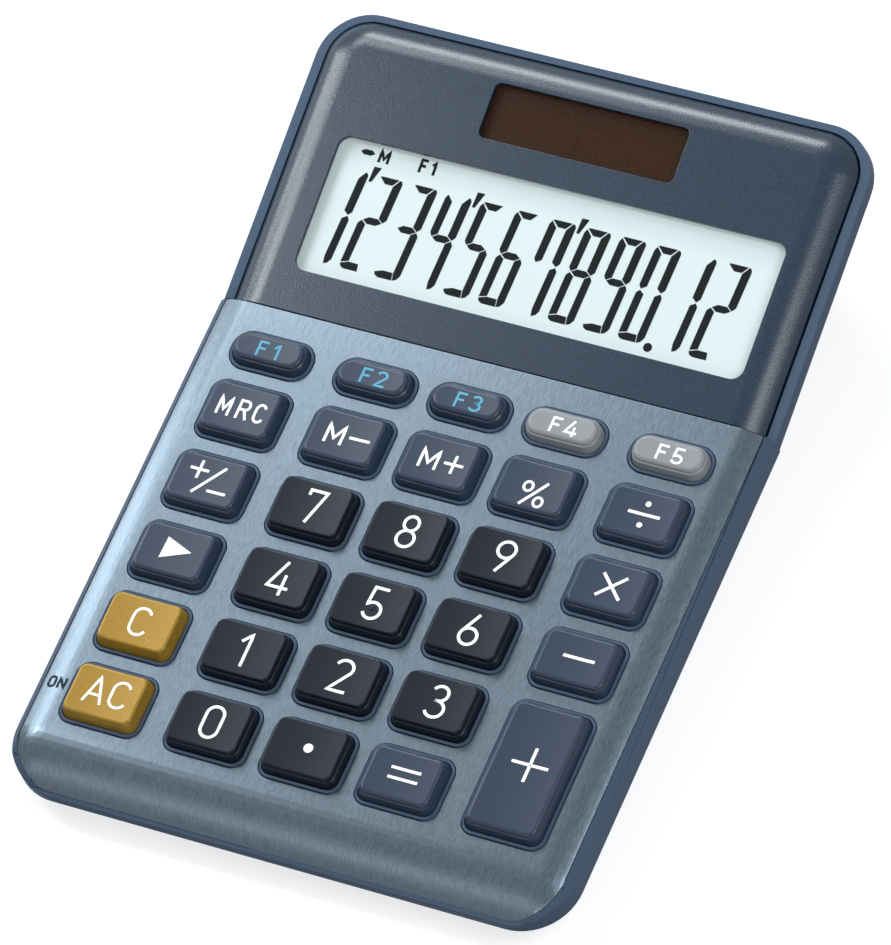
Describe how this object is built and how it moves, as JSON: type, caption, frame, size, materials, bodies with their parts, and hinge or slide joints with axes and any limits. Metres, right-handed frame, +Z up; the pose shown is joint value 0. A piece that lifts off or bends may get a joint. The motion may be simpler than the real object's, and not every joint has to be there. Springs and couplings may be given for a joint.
{
  "type": "desk calculator",
  "caption": "Desk calculator with a brushed metal keypad faceplate, sprung keys, a raked liquid crystal display and a small solar window.",
  "frame": {"origin": "middle of the footprint, on the surface that the rubber feet stand on", "axes": "+Y from the front edge towards the display, +Z up, +X to the right of someone at the keys"},
  "size_m": [0.1242, 0.1794, 0.033],
  "materials": {
    "case_top": "satin metallic blue-grey",
    "case_base": "fine matt texture",
    "cover": "dark slate with a fine metallic grain",
    "faceplate": "brushed front to back, pale blue",
    "clear_lens": "clear and polished",
    "lcd": "satin, pale green-grey",
    "reflector": "satin",
    "white_plastic": "plain",
    "flex": "amber film",
    "brown_lens": "brown tint, polished",
    "solar": "dark brown",
    "black_wire": "insulated",
    "red_wire": "insulated",
    "board": "brown laminate",
    "black_resin": "potted",
    "components": "sleeved",
    "grey_rubber": "translucent grey",
    "black_rubber": "matt",
    "screw": "zinc plated",
    "cell_can": "satin",
    "spring_contact": "nickel plated spring strip",
    "key_black": "satin near-black",
    "key_blue": "satin blue-grey",
    "key_grey": "satin light grey",
    "key_gold": "metallic gold"
  },
  "bodies": {
    "case": {"lower_case": "case_base", "upper_case": "case_top", "display_cover": "cover", "keypad_faceplate": "faceplate", "display_lens": "clear_lens", "lcd_cell": "lcd", "lcd_reflector": "reflector", "lcd_holder": "white_plastic", "lcd_flex": "flex", "solar_lens": "brown_lens", "solar_cell": "solar", "solar_wires": "black_wire", "main_board": "board", "controller_blob": "black_resin", "board_components": "components", "key_mat": "grey_rubber", "board_screws": "screw", "cover_screws": "screw", "holder_screws": "screw", "case_screws": "screw", "button_cell": "cell_can", "battery_contact_positive": "spring_contact", "battery_contact_negative": "spring_contact", "battery_wires": "red_wire", "battery_cover": "case_base", "battery_cover_screw": "screw", "front_feet": "black_rubber", "rear_feet": "black_rubber"},
    "key_function_1": {"key_function_1": "key_blue"},
    "key_function_2": {"key_function_2": "key_blue"},
    "key_function_3": {"key_function_3": "key_blue"},
    "key_function_4": {"key_function_4": "key_grey"},
    "key_function_5": {"key_function_5": "key_grey"},
    "key_memory_recall": {"key_memory_recall": "key_blue"},
    "key_memory_minus": {"key_memory_minus": "key_blue"},
    "key_memory_plus": {"key_memory_plus": "key_blue"},
    "key_percent": {"key_percent": "key_blue"},
    "key_divide": {"key_divide": "key_blue"},
    "key_sign": {"key_sign": "key_blue"},
    "key_7": {"key_7": "key_black"},
    "key_8": {"key_8": "key_black"},
    "key_9": {"key_9": "key_black"},
    "key_multiply": {"key_multiply": "key_blue"},
    "key_correct": {"key_correct": "key_blue"},
    "key_4": {"key_4": "key_black"},
    "key_5": {"key_5": "key_black"},
    "key_6": {"key_6": "key_black"},
    "key_minus": {"key_minus": "key_blue"},
    "key_clear": {"key_clear": "key_gold"},
    "key_1": {"key_1": "key_black"},
    "key_2": {"key_2": "key_black"},
    "key_3": {"key_3": "key_black"},
    "key_plus": {"key_plus": "key_blue"},
    "key_all_clear": {"key_all_clear": "key_gold"},
    "key_0": {"key_0": "key_black"},
    "key_point": {"key_point": "key_black"},
    "key_equals": {"key_equals": "key_blue"}
  },
  "joints": [
    {"name": "press_function_1", "type": "slide", "parent": "case", "child": "key_function_1", "axis": [0, 0.0523, -0.9986], "range_m": [0, 0.002], "stiffness_N_per_m": 250, "springref_m": -0.001, "deforming": ["key_mat"]},
    {"name": "press_function_2", "type": "slide", "parent": "case", "child": "key_function_2", "axis": [0, 0.0523, -0.9986], "range_m": [0, 0.002], "stiffness_N_per_m": 250, "springref_m": -0.001, "deforming": ["key_mat"]},
    {"name": "press_function_3", "type": "slide", "parent": "case", "child": "key_function_3", "axis": [0, 0.0523, -0.9986], "range_m": [0, 0.002], "stiffness_N_per_m": 250, "springref_m": -0.001, "deforming": ["key_mat"]},
    {"name": "press_function_4", "type": "slide", "parent": "case", "child": "key_function_4", "axis": [0, 0.0523, -0.9986], "range_m": [0, 0.002], "stiffness_N_per_m": 250, "springref_m": -0.001, "deforming": ["key_mat"]},
    {"name": "press_function_5", "type": "slide", "parent": "case", "child": "key_function_5", "axis": [0, 0.0523, -0.9986], "range_m": [0, 0.002], "stiffness_N_per_m": 250, "springref_m": -0.001, "deforming": ["key_mat"]},
    {"name": "press_memory_recall", "type": "slide", "parent": "case", "child": "key_memory_recall", "axis": [0, 0.0523, -0.9986], "range_m": [0, 0.002], "stiffness_N_per_m": 250, "springref_m": -0.001, "deforming": ["key_mat"]},
    {"name": "press_memory_minus", "type": "slide", "parent": "case", "child": "key_memory_minus", "axis": [0, 0.0523, -0.9986], "range_m": [0, 0.002], "stiffness_N_per_m": 250, "springref_m": -0.001, "deforming": ["key_mat"]},
    {"name": "press_memory_plus", "type": "slide", "parent": "case", "child": "key_memory_plus", "axis": [0, 0.0523, -0.9986], "range_m": [0, 0.002], "stiffness_N_per_m": 250, "springref_m": -0.001, "deforming": ["key_mat"]},
    {"name": "press_percent", "type": "slide", "parent": "case", "child": "key_percent", "axis": [0, 0.0523, -0.9986], "range_m": [0, 0.002], "stiffness_N_per_m": 250, "springref_m": -0.001, "deforming": ["key_mat"]},
    {"name": "press_divide", "type": "slide", "parent": "case", "child": "key_divide", "axis": [0, 0.0523, -0.9986], "range_m": [0, 0.002], "stiffness_N_per_m": 250, "springref_m": -0.001, "deforming": ["key_mat"]},
    {"name": "press_sign", "type": "slide", "parent": "case", "child": "key_sign", "axis": [0, 0.0523, -0.9986], "range_m": [0, 0.002], "stiffness_N_per_m": 250, "springref_m": -0.001, "deforming": ["key_mat"]},
    {"name": "press_7", "type": "slide", "parent": "case", "child": "key_7", "axis": [0, 0.0523, -0.9986], "range_m": [0, 0.002], "stiffness_N_per_m": 250, "springref_m": -0.001, "deforming": ["key_mat"]},
    {"name": "press_8", "type": "slide", "parent": "case", "child": "key_8", "axis": [0, 0.0523, -0.9986], "range_m": [0, 0.002], "stiffness_N_per_m": 250, "springref_m": -0.001, "deforming": ["key_mat"]},
    {"name": "press_9", "type": "slide", "parent": "case", "child": "key_9", "axis": [0, 0.0523, -0.9986], "range_m": [0, 0.002], "stiffness_N_per_m": 250, "springref_m": -0.001, "deforming": ["key_mat"]},
    {"name": "press_multiply", "type": "slide", "parent": "case", "child": "key_multiply", "axis": [0, 0.0523, -0.9986], "range_m": [0, 0.002], "stiffness_N_per_m": 250, "springref_m": -0.001, "deforming": ["key_mat"]},
    {"name": "press_correct", "type": "slide", "parent": "case", "child": "key_correct", "axis": [0, 0.0523, -0.9986], "range_m": [0, 0.002], "stiffness_N_per_m": 250, "springref_m": -0.001, "deforming": ["key_mat"]},
    {"name": "press_4", "type": "slide", "parent": "case", "child": "key_4", "axis": [0, 0.0523, -0.9986], "range_m": [0, 0.002], "stiffness_N_per_m": 250, "springref_m": -0.001, "deforming": ["key_mat"]},
    {"name": "press_5", "type": "slide", "parent": "case", "child": "key_5", "axis": [0, 0.0523, -0.9986], "range_m": [0, 0.002], "stiffness_N_per_m": 250, "springref_m": -0.001, "deforming": ["key_mat"]},
    {"name": "press_6", "type": "slide", "parent": "case", "child": "key_6", "axis": [0, 0.0523, -0.9986], "range_m": [0, 0.002], "stiffness_N_per_m": 250, "springref_m": -0.001, "deforming": ["key_mat"]},
    {"name": "press_minus", "type": "slide", "parent": "case", "child": "key_minus", "axis": [0, 0.0523, -0.9986], "range_m": [0, 0.002], "stiffness_N_per_m": 250, "springref_m": -0.001, "deforming": ["key_mat"]},
    {"name": "press_clear", "type": "slide", "parent": "case", "child": "key_clear", "axis": [0, 0.0523, -0.9986], "range_m": [0, 0.002], "stiffness_N_per_m": 250, "springref_m": -0.001, "deforming": ["key_mat"]},
    {"name": "press_1", "type": "slide", "parent": "case", "child": "key_1", "axis": [0, 0.0523, -0.9986], "range_m": [0, 0.002], "stiffness_N_per_m": 250, "springref_m": -0.001, "deforming": ["key_mat"]},
    {"name": "press_2", "type": "slide", "parent": "case", "child": "key_2", "axis": [0, 0.0523, -0.9986], "range_m": [0, 0.002], "stiffness_N_per_m": 250, "springref_m": -0.001, "deforming": ["key_mat"]},
    {"name": "press_3", "type": "slide", "parent": "case", "child": "key_3", "axis": [0, 0.0523, -0.9986], "range_m": [0, 0.002], "stiffness_N_per_m": 250, "springref_m": -0.001, "deforming": ["key_mat"]},
    {"name": "press_plus", "type": "slide", "parent": "case", "child": "key_plus", "axis": [0, 0.0523, -0.9986], "range_m": [0, 0.002], "stiffness_N_per_m": 250, "springref_m": -0.001, "deforming": ["key_mat"]},
    {"name": "press_all_clear", "type": "slide", "parent": "case", "child": "key_all_clear", "axis": [0, 0.0523, -0.9986], "range_m": [0, 0.002], "stiffness_N_per_m": 250, "springref_m": -0.001, "deforming": ["key_mat"]},
    {"name": "press_0", "type": "slide", "parent": "case", "child": "key_0", "axis": [0, 0.0523, -0.9986], "range_m": [0, 0.002], "stiffness_N_per_m": 250, "springref_m": -0.001, "deforming": ["key_mat"]},
    {"name": "press_point", "type": "slide", "parent": "case", "child": "key_point", "axis": [0, 0.0523, -0.9986], "range_m": [0, 0.002], "stiffness_N_per_m": 250, "springref_m": -0.001, "deforming": ["key_mat"]},
    {"name": "press_equals", "type": "slide", "parent": "case", "child": "key_equals", "axis": [0, 0.0523, -0.9986], "range_m": [0, 0.002], "stiffness_N_per_m": 250, "springref_m": -0.001, "deforming": ["key_mat"]}
  ]
}
